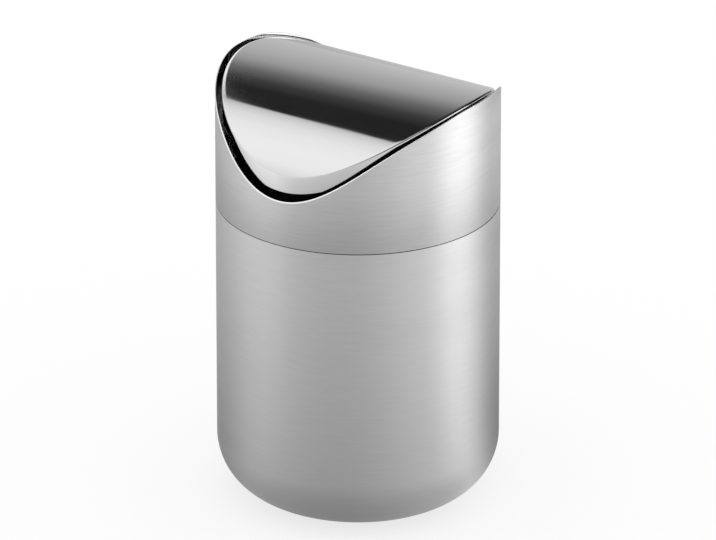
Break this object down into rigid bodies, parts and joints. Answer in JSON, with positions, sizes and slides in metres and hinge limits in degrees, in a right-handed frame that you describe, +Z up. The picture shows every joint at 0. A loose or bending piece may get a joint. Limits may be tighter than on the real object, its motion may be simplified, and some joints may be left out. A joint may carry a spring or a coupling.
{
  "type": "countertop trash can",
  "caption": "Small round steel countertop bin with a rounded base, a lift-off collar with a saddle-cut rim and a barrel-vaulted swing lid.",
  "frame": {"origin": "centre of the standing face", "axes": "+Z up; +X along the swing axis of the lid, to one of the two peaks of the rim; +Y to one of the two low points of the rim"},
  "size_m": [0.12, 0.12, 0.19],
  "materials": {
    "brushed_steel": "fine circumferential brushing",
    "polished_steel": "polished stainless steel",
    "plain_steel": "plain rolled steel",
    "black_plastic": "moulded, satin",
    "foot_rubber": "matt soft rubber"
  },
  "bodies": {
    "can": {"can_shell": "brushed_steel", "foot_ring": "foot_rubber"},
    "head": {"collar_shell": "brushed_steel", "neck_ring": "black_plastic", "pivot_plate_left": "plain_steel", "pivot_plate_right": "plain_steel", "pivot_bush_left": "black_plastic", "pivot_bush_right": "black_plastic"},
    "lid": {"lid_cover": "polished_steel", "axle_rod": "plain_steel", "axle_saddle_left": "plain_steel", "axle_saddle_right": "plain_steel"}
  },
  "joints": [
    {"name": "head_lift", "type": "slide", "parent": "can", "child": "head", "axis": [0, 0, 1], "range_m": [0, 0.06]},
    {"name": "lid_swing", "type": "hinge", "parent": "head", "child": "lid", "pos_m": [0, 0, 0.1848], "axis": [1, 0, 0], "continuous": true}
  ]
}
